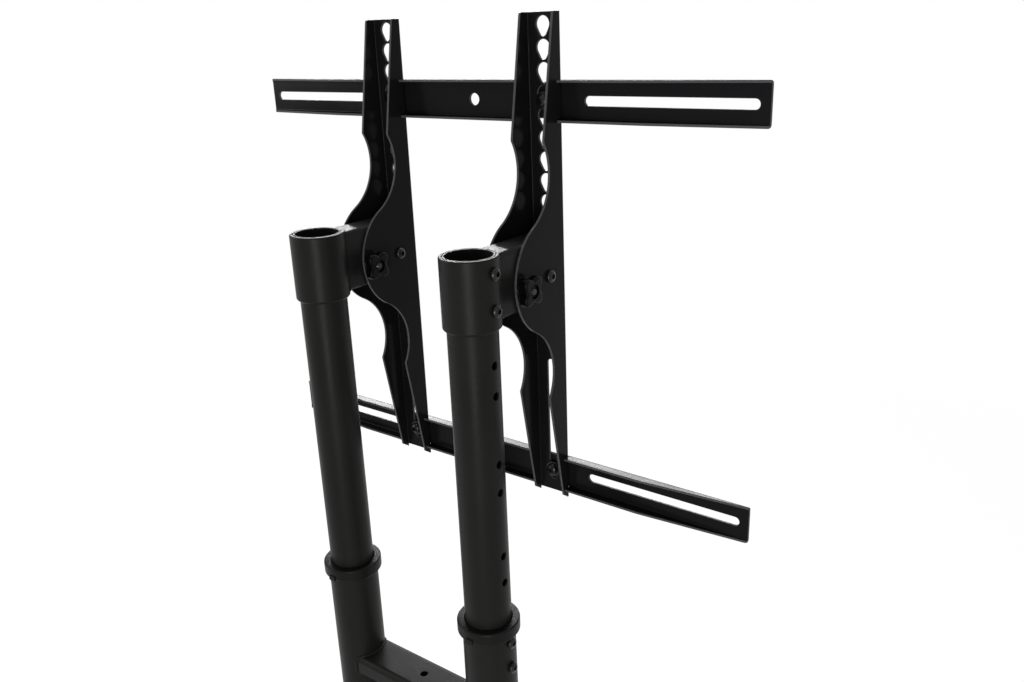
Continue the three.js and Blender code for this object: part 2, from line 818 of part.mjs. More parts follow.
// A bolt through web and rail, with a washer in the channel and a nut on the other side.
function addRailBolts(group, name, x, height) {
  const toRear = Y;
  const toFront = new THREE.Vector3(0, -1, 0);
  const washerAt = webRear + seatGap;
  const headAt = washerAt + washerThickness + seatGap;
  const nutAt = railFront - seatGap;
  add(group, `rail_washer_${name}`, washer(), boltSteel, { at: [x, washerAt, height], facing: toRear });
  const length = headAt - nutAt + nutHeight + threadEnd;
  add(group, `rail_bolt_${name}`, buttonBolt(length), boltSteel, {
    at: [x, headAt, height],
    facing: toRear,
  });
  add(group, `rail_nut_${name}`, nut(), boltSteel, { at: [x, nutAt, height], facing: toFront });
}

const base = new THREE.Group();
buildBase(base);
buildLowerPosts(base);

const carriage = new THREE.Group();
carriage.position.z = upperTubeTop;
buildCarriage(carriage);

const tiltingFrame = new THREE.Group();
tiltingFrame.position.set(0, pivotY, pivotHeight);
buildTiltingFrame(tiltingFrame);

stand.add(base, carriage, tiltingFrame);

export default stand;
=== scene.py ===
# Looks of a floor stand for a television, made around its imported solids. Metres, +Z up.
# The television hangs on the -Y side, the posts stand on the X axis, and left is -X.
# Each fine piece takes its place and outer size from the box of the solid that it stands for.

import json
from itertools import pairwise
from math import acos, asin, atan2, cos, hypot, pi, radians, sin, tan

import bmesh
import bpy
from mathutils import Matrix, Vector
from mathutils.geometry import tessellate_polygon

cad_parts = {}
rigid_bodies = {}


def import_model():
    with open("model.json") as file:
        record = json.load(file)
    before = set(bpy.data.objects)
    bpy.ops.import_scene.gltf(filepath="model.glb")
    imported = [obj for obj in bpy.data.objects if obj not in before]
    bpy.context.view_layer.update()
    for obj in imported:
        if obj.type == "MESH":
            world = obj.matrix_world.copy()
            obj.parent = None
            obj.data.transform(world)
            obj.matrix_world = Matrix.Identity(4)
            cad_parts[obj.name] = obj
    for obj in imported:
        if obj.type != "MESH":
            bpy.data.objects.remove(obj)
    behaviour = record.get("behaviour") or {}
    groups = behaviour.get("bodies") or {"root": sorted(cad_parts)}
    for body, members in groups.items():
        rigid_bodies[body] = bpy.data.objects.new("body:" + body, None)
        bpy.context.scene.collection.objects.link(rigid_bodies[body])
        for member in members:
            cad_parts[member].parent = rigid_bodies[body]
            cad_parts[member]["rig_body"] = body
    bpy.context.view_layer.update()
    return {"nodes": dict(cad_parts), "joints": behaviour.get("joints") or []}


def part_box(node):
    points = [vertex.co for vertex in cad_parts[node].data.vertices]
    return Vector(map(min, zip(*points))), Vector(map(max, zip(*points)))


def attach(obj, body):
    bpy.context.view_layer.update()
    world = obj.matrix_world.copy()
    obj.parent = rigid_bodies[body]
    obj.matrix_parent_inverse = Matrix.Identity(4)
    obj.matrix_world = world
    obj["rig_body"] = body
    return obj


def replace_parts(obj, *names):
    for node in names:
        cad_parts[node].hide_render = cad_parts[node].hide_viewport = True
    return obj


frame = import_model()

# Camera, at the view of the photograph
SENSOR_MM = 36
LENS_MM = 31.746
CAMERA_PLACE = (-0.6240, 0.6189, 1.1980)
CAMERA_HEADING = 217.497  # degrees, turned left from +Y
CAMERA_PITCH = -19.207
CAMERA_ROLL = -2.303

# Sheet metal
SHEET = 0.0025
FOLD_RADIUS = 0.0015  # on the inner side
SHEET_EDGE = 0.0005  # rounding of cut edges under their coat
FOLD_STEPS = 8
CORNER_SHARE = 0.45  # of the shorter stretch, the most that a rounded corner takes

# Bracket, seen from the side. Depths run from the rear face of the web towards the posts.
BELLY_RADIUS = 0.061
BELLY_DEPTH = 0.022  # of its centre, at the pivot
NECK_DEPTH = 0.0225  # at the middle of each scallop
SCALLOP_OFFSET = 0.1025  # of its middle, above and below the pivot
SHOULDER_DEPTH = 0.031  # at the upper end of the upper scallop
BUMP_DEPTH = 0.031  # at the lower end of the lower scallop
TOP_DEPTH = 0.011
FOOT_DEPTH = 0.0095
FOOT_SLANT = 0.007
WEB_FOOT_RISE = 0.004  # of the web's foot above the flanges' feet
WEB_FOOT_CORNER = 0.001
OUTLINE_ROUNDING = 0.003
KEYHOLES = 9
KEYHOLES_ABOVE_RAIL = 3
KEYHOLE_PITCH = 0.0213
KEYHOLE_HEAD_RADIUS = 0.0076
KEYHOLE_NECK_RADIUS = 0.0043
KEYHOLE_RISE = 0.007  # from the centre of the neck to the head's
WEB_SLOT_TOP_DROP = 0.1058  # below the pivot
WEB_SLOT_TAIL = 0.008  # below the lower rail's bolt
WEB_SLOT_WIDTH = 0.0088
BOLT_HOLE = 0.0043  # radius
TILT_SLOT_UP = radians(10)
TILT_SLOT_DOWN = radians(17)

# Rails
RAIL_SLOT_INNER = 0.135
RAIL_SLOT_OUTER = 0.309
RAIL_SLOT_HEIGHT = 0.0092
RAIL_CENTRE_HOLE = 0.006  # radius
RAIL_LIP_END = 0.0015  # height of the lip at the rail's ends
RAIL_LIP_STRAIGHT = 0.200  # from the middle to where the lip tapers
RAIL_NOTCH_PLAY = 0.00005
RAIL_NOTCH_RISE = 0.0012  # how far a notch stays off the flat, within the bend
RAIL_NOTCH_CORNER = 0.0064  # follows the bracket's folds
RAIL_CORNER = 0.003

# Every piece
GAP = 0.0003  # between pieces that fit into each other
FINE_EDGE = 0.0005  # rounding of small rims

# Tubes, sleeves and collars
TUBE_WALL = 0.002
HOLE_PAIR_PITCH = 0.1032
HEIGHT_SETTINGS = 4  # one pair of holes each
SLEEVE_LIP = 0.0014
SLEEVE_FOOT = 0.0022
COLLAR_CAP = 0.004
COLLAR_HEIGHT = 0.014
COLLAR_LINER = 0.009  # how far the liner hangs down between the tubes
COLLAR_EDGE = 0.0018
COLLAR_MOUTH = 0.0012
LUG_WIDTH = 0.0095
LUG_HEIGHT = 0.0065
LUG_CORNER = LUG_HEIGHT / 3
LUG_STAND = 0.0012  # out of the collar
LUG_ROUNDING = LUG_STAND / 2
LUG_DROP = 0.0012  # below the collar

# Box sections
ARM_WALL = 0.0025
ARM_CORNER = 0.005
CROSSBAR_CORNER = 0.007
CROSSBAR_HOLE = 0.0045  # radius
BASE_CORNER = 0.004
BASE_WALL = 0.002
CAP_THICKNESS = 0.003
CAP_ROUNDING = 0.0014

# Foot pads
PAD_FOOT_INSET = 0.001
PAD_FOOT_EDGE = 0.0008
PAD_GROOVE = 0.0008  # its depth, and half its height
PAD_GROOVE_RIM = 0.0004
PAD_GROOVE_ROOT = 0.0003
PAD_TOP_EDGE = 0.0006

# Fasteners
SHANK = 0.0039  # radius
TIP_RADIUS = SHANK * 0.75
TIP_BEVEL = SHANK / 4
HEAD_CLEARANCE = 0.001  # between the thread and the head
HEAD_RIM = 0.0015
HEAD_RADIUS = 0.0065
HEAD_HEIGHT = 0.005
SOCKET_WIDTH = 0.005
SOCKET_DEPTH = 0.0028
CARRIAGE_HEAD_HEIGHT = 0.004
THREAD_PITCH = 0.00125
THREAD_DEPTH = 0.0006
THREAD_LENGTH = 0.012
THREAD_RINGS = 4  # rings of points in each turn
NUT_WIDTH = 0.013
NUT_FACE_SHARE = 0.97
NUT_BEVEL = radians(30)
WASHER_EDGE = 0.0003

# Knobs
KNOB_BOSS_RADIUS = 0.009
KNOB_BOSS_HEIGHT = 0.003
KNOB_HUB_RADIUS = 0.011
KNOB_REACH = 0.017
KNOB_LOBES = 4
KNOB_LOBE_POWER = 0.8  # below 1, it widens the lobes
KNOB_EDGE = 0.0024
KNOB_CUP_RADIUS = 0.0072
KNOB_CUP_DEPTH = 0.0022

# Welds
BEAD = 0.0019  # radius
BEAD_SIDES = 10
BEAD_STEP = 0.0008
BEAD_RIPPLE = 0.0032  # length of one ripple
BEAD_RIPPLE_SHARE = 0.10

# Facets
ROUND_SIDES = 128
BOLT_SIDES = 48
PAD_SIDES = 96
SOCKET_SIDES = 6
ARC_STEPS = 28
SMALL_ARC_STEPS = 10
EDGE_STEPS = 3
SMOOTH_ANGLE = radians(40)
WELD_DISTANCE = 1e-6  # between points that become one
OVERRUN = 0.01  # of a cutter past what it cuts

# Studio
CLIP_NEAR = 0.01
CLIP_FAR = 50
FLOOR_SIZE = 60
FLOOR_GREY = 0.85
FLOOR_WHITE_SHARE = 0.85  # near the stand, where the floor also takes a shadow
FLOOR_FADE_FROM = 1.0  # from the origin
FLOOR_FADE_TO = 2.6
AMBIENT = 0.40
LAMPS = (
    # name, place, target, width, height, power in watts
    ("top", (0.5, -0.9, 2.7), (0, 0, 0.8), 1.6, 1.2, 34),
    ("back", (1.61, -2.1, 1.94), (1.61, 0, 0.95), 2.5, 0.20, 66),
    ("front", (-1.15, 1.72, 0.70), (0, 0, 0.8), 0.4, 1.0, 27),
    ("fill", (2.2, 1.2, 1.7), (0, 0, 0.8), 1.0, 1.4, 26),
)

# Cut edges of a sheet get a paler grey: a painted highlight, where they catch light
RIM_HIGHLIGHT_GREY = (0.075, 0.075, 0.078)
RIM = "rim"  # the mark that their faces carry

# Noises of the coats, their scales counted per metre
DRIFT_SCALE = 14.0
DRIFT_DETAIL = 4.0
DRIFT_SPAN = (0.3, 0.7)
GRAIN_DETAIL = 3.0
GRAIN_SPAN = (0.35, 0.65)
PEEL_SCALE = 420.0
PEEL_DETAIL = 1.0
SPECKLE = 0.14
ROUGHNESS_DRIFT = 0.04

# The coats, under the names that the record gives them. Grain is a size in metres, relief and
# peel are heights in metres, and rim is the share of the painted highlight grey on cut edges.
COATS = {
    "tube_coat": {
        "dark": (0.0064, 0.0062, 0.0059), "light": (0.0096, 0.0093, 0.0087), "roughness": 0.38,
        "specular": 0.07, "grain": 0.0006, "relief": 0.00008, "peel": 0.00010,
    },
    "sheet_coat": {
        "dark": (0.0052, 0.0052, 0.0057), "light": (0.0078, 0.0078, 0.0086), "roughness": 0.18,
        # rim: the share of a painted highlight grey on this sheet's cut edges
        "specular": 0.035, "grain": 0.0005, "relief": 0.000008, "peel": 0.000010, "rim": 0.75,
    },
    "moulded_plastic": {
        "dark": (0.0035, 0.0034, 0.0032), "light": (0.0055, 0.0053, 0.0050), "roughness": 0.36,
        "specular": 0.08, "grain": 0.0008, "relief": 0.00006,
    },
    "knob_plastic": {
        "dark": (0.0015, 0.0015, 0.0017), "light": (0.0022, 0.0022, 0.0024), "roughness": 0.30,
        "specular": 0.06, "grain": 0.0006, "relief": 0.00004,
    },
    "bolt_steel": {
        "dark": (0.003, 0.003, 0.0033), "light": (0.005, 0.005, 0.0055), "roughness": 0.25,
        "specular": 0.25, "grain": 0.0010, "relief": 0.00002,
    },
    "pad_rubber": {
        "dark": (0.010, 0.010, 0.010), "light": (0.014, 0.014, 0.014), "roughness": 0.75,
        "specular": 0.5, "grain": 0.0007, "relief": 0.00010,
    },
}

SIDES = (("left", -1), ("right", 1))
AXIS_X = Vector((1, 0, 0))
AXIS_Y = Vector((0, 1, 0))
AXIS_Z = Vector((0, 0, 1))


# Places read from the solids

def middle(node):
    low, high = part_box(node)
    return (low + high) / 2


def size(node):
    low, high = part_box(node)
    return high - low


def face(node, direction):
    """The middle of the face of a node's box that looks in a direction along an axis."""
    reach = size(node) / 2
    return middle(node) + Vector(a * b for a, b in zip(reach, direction))


def tilt_pivot():
    joint = next(j for j in frame["joints"] if j["name"] == "tilt")
    return Vector(joint["pos_m"])


# Outlines, as lists of points in a plane

def arc(x, y, radius, start, end, steps=ARC_STEPS):
    turns = (start + (end - start) * i / steps for i in range(steps + 1))
    return [(x + radius * cos(a), y + radius * sin(a)) for a in turns]


def circle(y, radius):
    """A circle whose centre is on Y."""
    return arc(0, y, radius, 0, 2 * pi, BOLT_SIDES)[:-1]


def slot_outline(first, last, radius):
    """A slot along Y, from the centre of one round end to the other."""
    heading = pi / 2 if last > first else -pi / 2
    far = arc(0, last, radius, heading - pi / 2, heading + pi / 2, SMALL_ARC_STEPS)
    return far + arc(0, first, radius, heading + pi / 2, heading + 1.5 * pi, SMALL_ARC_STEPS)


def rounded_box(width, height, corner):
    w = width / 2 - corner
    h = height / 2 - corner
    quarters = ((w, h), (-w, h), (-w, -h), (w, -h))
    return [
        point
        for i, (x, y) in enumerate(quarters)
        for point in arc(x, y, corner, i * pi / 2, (i + 1) * pi / 2, SMALL_ARC_STEPS)
    ]


def rounded_corner(before, corner, after, radius, steps=SMALL_ARC_STEPS):
    """The arc that takes the place of a corner between two straight stretches."""
    c = Vector(corner)
    to_before = Vector(before) - c
    to_after = Vector(after) - c
    shortest = min(to_before.length, to_after.length)
    to_before.normalize()
    to_after.normalize()
    half = to_before.angle(to_after) / 2
    setback = min(radius / tan(half), shortest * CORNER_SHARE)
    radius = setback * tan(half)
    centre = c + (to_before + to_after).normalized() * (radius / sin(half))
    first = c + to_before * setback - centre
    last = c + to_after * setback - centre
    start = atan2(first.y, first.x)
    turn = atan2(first.x * last.y - first.y * last.x, first.dot(last))
    return arc(centre.x, centre.y, radius, start, start + turn, steps)


def quarter_turn(steps):
    return [i * pi / 2 / steps for i in range(steps + 1)]


def counterclockwise(points):
    area = sum(a[0] * b[1] - b[0] * a[1] for a, b in zip(points, points[1:] + points[:1]))
    return area > 0


def inward(points):
    """For each point of a loop, the step to its left that moves both its edges by one."""
    steps = []
    count = len(points)
    for i, point in enumerate(points):
        here = Vector(point)
        a = (here - Vector(points[i - 1])).normalized()
        b = (Vector(points[(i + 1) % count]) - here).normalized()
        left_a = Vector((-a.y, a.x))
        left_b = Vector((-b.y, b.x))
        steps.append((left_a + left_b) / (1 + left_a.dot(left_b)))
    return steps


# Meshes

def finished(bm, name):
    bmesh.ops.remove_doubles(bm, verts=bm.verts, dist=WELD_DISTANCE)
    bmesh.ops.recalc_face_normals(bm, faces=bm.faces)
    mesh = bpy.data.meshes.new(name)
    bm.to_mesh(mesh)
    bm.free()
    return mesh


def add_prism(bm, loops, bottom, top, edge, steps=EDGE_STEPS):
    """An outline with holes, pulled along Z, with rounded rims. The first loop is the outside."""
    rims = []
    for index, loop in enumerate(loops):
        points = list(loop)
        if counterclockwise(points) != (index == 0):
            points.reverse()
        inset_steps = inward(points)
        quarter = quarter_turn(steps)
        profile = [(edge - edge * sin(a), top - edge + edge * cos(a)) for a in quarter]
        profile += [(edge - edge * cos(a), bottom + edge - edge * sin(a)) for a in quarter]
        rims.append([
            [
                bm.verts.new((x + step.x * inset, y + step.y * inset, z))
                for (x, y), step in zip(points, inset_steps)
            ]
            for inset, z in profile
        ])
    # The rim faces are marked here, and a coat with a rim share paints them with a highlight grey
    mark = bm.faces.layers.float.get(RIM) or bm.faces.layers.float.new(RIM)
    for rings in rims:
        for upper, lower in pairwise(rings):
            count = len(upper)
            for i in range(count):
                j = (i + 1) % count
                bm.faces.new((upper[i], lower[i], lower[j], upper[j]))[mark] = 1
    for end in (0, -1):
        borders = [rings[end] for rings in rims]
        verts = [vert for border in borders for vert in border]
        flat = [[Vector((v.co.x, v.co.y, 0)) for v in border] for border in borders]
        for corners in tessellate_polygon(flat):
            bm.faces.new([verts[i] for i in corners])


def prism(name, loops, bottom, top, edge, steps=EDGE_STEPS):
    bm = bmesh.new()
    add_prism(bm, loops, bottom, top, edge, steps)
    return finished(bm, name)


def add_turned(bm, profile, sides=ROUND_SIDES):
    """A profile of (radius, height) turned round Z. It ends on the axis, or closes on itself."""
    closed = profile[0] == profile[-1]
    points = profile[:-1] if closed else profile
    rings = []
    for radius, height in points:
        if radius == 0:
            rings.append([bm.verts.new((0, 0, height))] * sides)
            continue
        turns = (2 * pi * i / sides for i in range(sides))
        rings.append([bm.verts.new((radius * cos(a), radius * sin(a), height)) for a in turns])
    if closed:
        rings.append(rings[0])
    for first, second in pairwise(rings):
        for i in range(sides):
            j = (i + 1) % sides
            corners = dict.fromkeys((first[i], first[j], second[j], second[i]))
            bm.faces.new(list(corners))


def turned(name, profile, sides=ROUND_SIDES):
    bm = bmesh.new()
    add_turned(bm, profile, sides)
    return finished(bm, name)


def rounded_profile(corners, steps=EDGE_STEPS + 1):
    """A closed profile whose corners (radius, height, rounding) are rounded where the last
    number isn't 0."""
    places = [(r, z) for r, z, _ in corners]
    points = []
    for i, (r, z, rounding) in enumerate(corners):
        if rounding:
            after = places[(i + 1) % len(places)]
            points += rounded_corner(places[i - 1], (r, z), after, rounding, steps)
        else:
            points.append((r, z))
    return points + points[:1]


def fold(bm, flat):
    """Folds a flat sheet towards -Z along two lines at x = -flat and x = flat.
    Afterwards z is the depth behind the outer face, and x and y stay across and along."""
    neutral = FOLD_RADIUS + SHEET / 2
    bend = neutral * pi / 2
    for side in (-1, 1):
        for i in range(FOLD_STEPS + 1):
            line = side * (flat + bend * i / FOLD_STEPS)
            everything = bm.verts[:] + bm.edges[:] + bm.faces[:]
            bmesh.ops.bisect_plane(bm, geom=everything, plane_co=(line, 0, 0), plane_no=AXIS_X)
    outer = FOLD_RADIUS + SHEET
    for vert in bm.verts:
        across, _, proud = vert.co
        side = 1 if across > 0 else -1
        past = abs(across) - flat
        if past <= 0:
            vert.co.z = SHEET / 2 - proud
            continue
        angle = min(past / neutral, pi / 2)
        radius = neutral + proud
        vert.co.x = side * (flat + radius * sin(angle))
        vert.co.z = outer - radius * cos(angle) + max(past - bend, 0)


def stand_up(bm, axes, origin):
    """Turns a folded sheet's X, Y and Z to three axes and puts it at its place."""
    matrix = Matrix(axes).transposed().to_4x4()
    matrix.translation = origin
    bmesh.ops.transform(bm, matrix=matrix, verts=bm.verts)


def temporary(mesh):
    thing = bpy.data.objects.new(mesh.name, mesh)
    bpy.context.scene.collection.objects.link(thing)
    return thing


def cut(mesh, cutter):
    """The mesh less the cutter. Both are closed."""
    body = temporary(mesh)
    tool = temporary(cutter)
    modifier = body.modifiers.new("cut", "BOOLEAN")
    modifier.operation = "DIFFERENCE"
    modifier.solver = "EXACT"
    modifier.object = tool
    graph = bpy.context.evaluated_depsgraph_get()
    made = bpy.data.meshes.new_from_object(body.evaluated_get(graph))
    made.name = mesh.name
    bpy.data.objects.remove(body)
    bpy.data.objects.remove(tool)
    return made


def rods(name, axis, radius, spans, sides=BOLT_SIDES):
    """Plain rods along an axis, each from a start point and with a length."""
    bm = bmesh.new()
    turn = AXIS_Z.rotation_difference(axis).to_matrix().to_4x4()
    for start, length in spans:
        bmesh.ops.create_cone(
            bm,
            cap_ends=True,
            segments=sides,
            radius1=radius,
            radius2=radius,
            depth=length,
            matrix=Matrix.Translation(start) @ turn @ Matrix.Translation((0, 0, length / 2)),
        )
    return finished(bm, name)


def placed(origin, across, up):
    """The matrix that takes X to across and Z to up, with its origin at a point."""
    z = Vector(up)
    x = Vector(across)
    y = z.cross(x)
    matrix = Matrix((x, y, z)).transposed().to_4x4()
    matrix.translation = origin
    return matrix


# Materials, all made of nodes in object space

def node_adder(tree):
    def add(kind, inputs=(), **settings):
        made = tree.nodes.new(kind)
        for key, value in settings.items():
            setattr(made, key, value)
        for socket, value in dict(inputs).items():
            if isinstance(value, bpy.types.NodeSocket):
                tree.links.new(value, made.inputs[socket])
            else:
                made.inputs[socket].default_value = value
        return made

    return add


def calculated(add, operation, first, second):
    return add("ShaderNodeMath", {0: first, 1: second}, operation=operation).outputs[0]


def stretched(add, value, span, onto):
    """A value mapped from one span onto another."""
    return add("ShaderNodeMapRange", {
        "Value": value, "From Min": span[0], "From Max": span[1],
        "To Min": onto[0], "To Max": onto[1],
    }).outputs["Result"]


def mixed(add, share, first, second, blend="MIX"):
    inputs = {"Factor": share, "A": first, "B": second}
    return add("ShaderNodeMix", inputs, data_type="RGBA", blend_type=blend).outputs["Result"]


def coated(name, dark, light, roughness, specular, grain, relief, peel=0.0, rim=0.0):
    """A coat whose colour drifts between two greys, with a fine grain and, where asked, soft
    orange peel and a painted highlight in a paler grey on cut edges."""
    material = bpy.data.materials.new(name)
    material.use_nodes = True
    tree = material.node_tree
    shader = tree.nodes["Principled BSDF"]
    shader.inputs["Specular IOR Level"].default_value = specular
    add = node_adder(tree)
    place = add("ShaderNodeTexCoord").outputs["Object"]

    def noise(scale, detail):
        inputs = {"Vector": place, "Scale": scale, "Detail": detail}
        return add("ShaderNodeTexNoise", inputs).outputs["Fac"]

    def bumped(height, distance, **normal):
        inputs = {"Height": height, "Strength": 1.0, "Distance": distance, **normal}
        return add("ShaderNodeBump", inputs).outputs["Normal"]

    drift = noise(DRIFT_SCALE, DRIFT_DETAIL)
    grains = noise(1 / grain, GRAIN_DETAIL)
    speckle = stretched(add, grains, GRAIN_SPAN, (1 - SPECKLE, 1 + SPECKLE))
    colour = mixed(add, drift, (*dark, 1), (*light, 1))
    colour = mixed(add, 1, colour, speckle, "MULTIPLY")
    # Painted highlight: the marked cut edges mix towards a paler grey
    if rim:
        marked = add("ShaderNodeAttribute", attribute_name=RIM).outputs["Fac"]
        share = calculated(add, "MULTIPLY", marked, rim)
        colour = mixed(add, share, colour, (*RIM_HIGHLIGHT_GREY, 1))
    tree.links.new(colour, shader.inputs["Base Color"])

    span = (roughness - ROUGHNESS_DRIFT, roughness + ROUGHNESS_DRIFT)
    dull = stretched(add, drift, DRIFT_SPAN, span)
    tree.links.new(dull, shader.inputs["Roughness"])

    normal = bumped(grains, relief)
    if peel:
        normal = bumped(noise(PEEL_SCALE, PEEL_DETAIL), peel, Normal=normal)
    tree.links.new(normal, shader.inputs["Normal"])
    return material


MATERIALS = {name: coated(name, **looks) for name, looks in COATS.items()}


# Pieces

def dressed(thing, slot):
    thing.data.materials.clear()
    thing.data.materials.append(MATERIALS[slot])


def show(name, mesh, slot, body, matrix=None):
    """Puts a finished mesh into the scene, smooth between its sharp edges, riding on a body."""
    mesh.polygons.foreach_set("use_smooth", [True] * len(mesh.polygons))
    mesh.set_sharp_from_angle(angle=SMOOTH_ANGLE)
    thing = temporary(mesh)
    thing.name = name
    if matrix is not None:
        thing.matrix_world = matrix
    dressed(thing, slot)
    weighted = thing.modifiers.new("even_normals", "WEIGHTED_NORMAL")
    weighted.keep_sharp = True
    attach(thing, body)
    return thing


def stand_for(node, mesh, slot, matrix=None):
    """A fine piece that takes the place of a solid, on the same body."""
    thing = show(f"{node}_look", mesh, slot, frame["nodes"][node]["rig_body"], matrix)
    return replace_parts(thing, node)


# Tubes, sleeves and collars

def side_holes(radius, sign, heights):
    """Short rods through one wall of a tube that stands on the origin, on its outer side."""
    spans = [(Vector((sign * radius / 2, 0, z)), radius) for z in heights]
    return rods("holes", AXIS_X * sign, BOLT_HOLE, spans)


def bolt_heights(kind, name):
    return [middle(f"{kind}_bolt_{name}_{i}").z for i in (1, 2)]


def tube_mesh(node):
    low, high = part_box(node)
    radius = (high.x - low.x) / 2
    bore = radius - TUBE_WALL
    corners = [(r, z, FINE_EDGE) for r, z in
               ((bore, low.z), (radius, low.z), (radius, high.z), (bore, high.z))]
    return turned(node, rounded_profile(corners)), radius


def on_axis(node):
    x, y, _ = middle(node)
    return Matrix.Translation((x, y, 0))


def make_tubes(name, sign):
    locks = bolt_heights("lock", name)
    settings = [z + i * HOLE_PAIR_PITCH for i in range(HEIGHT_SETTINGS) for z in locks]
    for node, heights in (
        (f"upper_tube_{name}", settings + bolt_heights("sleeve", name)),
        (f"lower_tube_{name}", locks),
    ):
        mesh, radius = tube_mesh(node)
        mesh = cut(mesh, side_holes(radius, sign, heights))
        stand_for(node, mesh, "tube_coat", on_axis(node))


def make_sleeve(name, sign):
    node = f"sleeve_{name}"
    low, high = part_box(node)
    radius = (high.x - low.x) / 2
    bore = size(f"upper_tube_{name}").x / 2 + GAP
    foot = low.z + SLEEVE_FOOT
    corners = [
        (bore, low.z, FINE_EDGE),
        (radius - SLEEVE_FOOT, low.z, FINE_EDGE),
        (radius, foot, SLEEVE_FOOT),
        (radius, high.z, SLEEVE_LIP),
        (bore, high.z, FINE_EDGE),
    ]
    mesh = turned(node, rounded_profile(corners))
    mesh = cut(mesh, side_holes(radius, sign, bolt_heights("sleeve", name)))
    stand_for(node, mesh, "tube_coat", on_axis(node))


def make_collar(name):
    """A moulded ring with a liner between the tubes and a small lug at the rear."""
    node = f"collar_{name}"
    low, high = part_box(node)
    outer = (high.x - low.x) / 2
    inner = size(f"upper_tube_{name}").x / 2 + GAP
    skirt = size(f"lower_tube_{name}").x / 2 + GAP
    liner = skirt - GAP - TUBE_WALL - GAP
    rim = high.z - COLLAR_CAP
    skirt_bottom = high.z - COLLAR_HEIGHT
    corners = [
        (inner, high.z, COLLAR_MOUTH),
        (inner, rim - COLLAR_LINER, 0),
        (liner, rim - COLLAR_LINER, 0),
        (liner, rim + GAP, 0),
        (skirt, rim + GAP, 0),
        (skirt, skirt_bottom, FINE_EDGE),
        (outer, skirt_bottom, COLLAR_EDGE),
        (outer, high.z, COLLAR_EDGE),
    ]
    bm = bmesh.new()
    add_turned(bm, rounded_profile(corners))
    outline = rounded_box(LUG_WIDTH, LUG_HEIGHT, LUG_CORNER)
    lug = prism("lug", [outline], 0, outer - skirt + LUG_STAND, LUG_ROUNDING)
    lug.transform(placed((0, skirt, skirt_bottom - LUG_DROP + LUG_HEIGHT / 2), -AXIS_X, AXIS_Y))
    bm.from_mesh(lug)
    bpy.data.meshes.remove(lug)
    stand_for(node, finished(bm, node), "moulded_plastic", on_axis(node))


# Box sections

def box_section(name, width, height, corner, wall, length):
    """A rounded box tube along Z, centred on the origin."""
    bore = rounded_box(width - 2 * wall, height - 2 * wall, corner - wall)
    loops = [rounded_box(width, height, corner), bore]
    return prism(name, loops, -length / 2, length / 2, FINE_EDGE)


def make_arm(name):
    node = f"arm_{name}"
    low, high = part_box(node)
    sleeve = middle(f"sleeve_{name}")
    radius = size(f"sleeve_{name}").x / 2
    length = sleeve.y - low.y
    mesh = box_section(node, high.x - low.x, high.z - low.z, ARM_CORNER, ARM_WALL, length)
    centre = Vector((middle(node).x, (low.y + sleeve.y) / 2, middle(node).z))
    mesh.transform(placed(centre, AXIS_X, AXIS_Y))
    start = Vector((sleeve.x, sleeve.y, low.z - OVERRUN))
    saddle = rods("saddle", AXIS_Z, radius, [(start, high.z - low.z + 2 * OVERRUN)], ROUND_SIDES)
    mesh = cut(mesh, saddle)
    bores = [
        (Vector((low.x - OVERRUN, middle(bolt).y, middle(bolt).z)), high.x - low.x + 2 * OVERRUN)
        for bolt in (f"pivot_bolt_{name}", f"knob_bolt_{name}")
    ]
    stand_for(node, cut(mesh, rods("bores", AXIS_X, BOLT_HOLE, bores)), "tube_coat")

    ring = [
        Vector((sleeve.x + x, sleeve.y - (radius ** 2 - x ** 2) ** 0.5, middle(node).z + z))
        for x, z in weld_outline(high.x - low.x, high.z - low.z, ARM_CORNER)
    ]
    show(f"weld_arm_{name}", bead(ring, AXIS_Y), "tube_coat", "carriage")


def make_crossbar():
    node = "crossbar"
    low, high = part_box(node)
    posts = [middle(f"lower_tube_{name}") for name, _ in SIDES]
    radius = size("lower_tube_left").x / 2
    length = posts[1].x - posts[0].x
    depth = high.y - low.y
    height = high.z - low.z
    mesh = box_section(node, depth, height, CROSSBAR_CORNER, BASE_WALL, length)
    mesh.transform(placed(middle(node), AXIS_Y, AXIS_X))
    spans = [(Vector((post.x, post.y, low.z - OVERRUN)), height + 2 * OVERRUN) for post in posts]
    mesh = cut(mesh, rods("saddles", AXIS_Z, radius, spans, ROUND_SIDES))
    hole = (Vector((0, 0, low.z - OVERRUN)), height + 2 * OVERRUN)
    stand_for(node, cut(mesh, rods("hole", AXIS_Z, CROSSBAR_HOLE, [hole])), "tube_coat")

    outline = weld_outline(depth, height, CROSSBAR_CORNER)
    for (name, sign), post in zip(SIDES, posts):
        ring = [
            Vector((post.x - sign * (radius ** 2 - y ** 2) ** 0.5, y, middle(node).z + z))
            for y, z in outline
        ]
        show(f"weld_crossbar_{name}", bead(ring, AXIS_X), "tube_coat", "base")


# Welds

def resampled(points, step):
    """A closed path with its points at even steps."""
    lengths = [(b - a).length for a, b in zip(points, points[1:] + points[:1])]
    count = round(sum(lengths) / step)
    spacing = sum(lengths) / count
    made = []
    index = 0
    start = 0.0
    for i in range(count):
        travelled = i * spacing
        while travelled > start + lengths[index]:
            start += lengths[index]
            index += 1
        a = points[index]
        b = points[(index + 1) % len(points)]
        made.append(a.lerp(b, (travelled - start) / lengths[index]))
    return made


def weld_outline(width, height, corner):
    """The outline of a box section in steps small enough to follow a round wall."""
    return resampled([Vector(point) for point in rounded_box(width, height, corner)], BEAD_STEP)


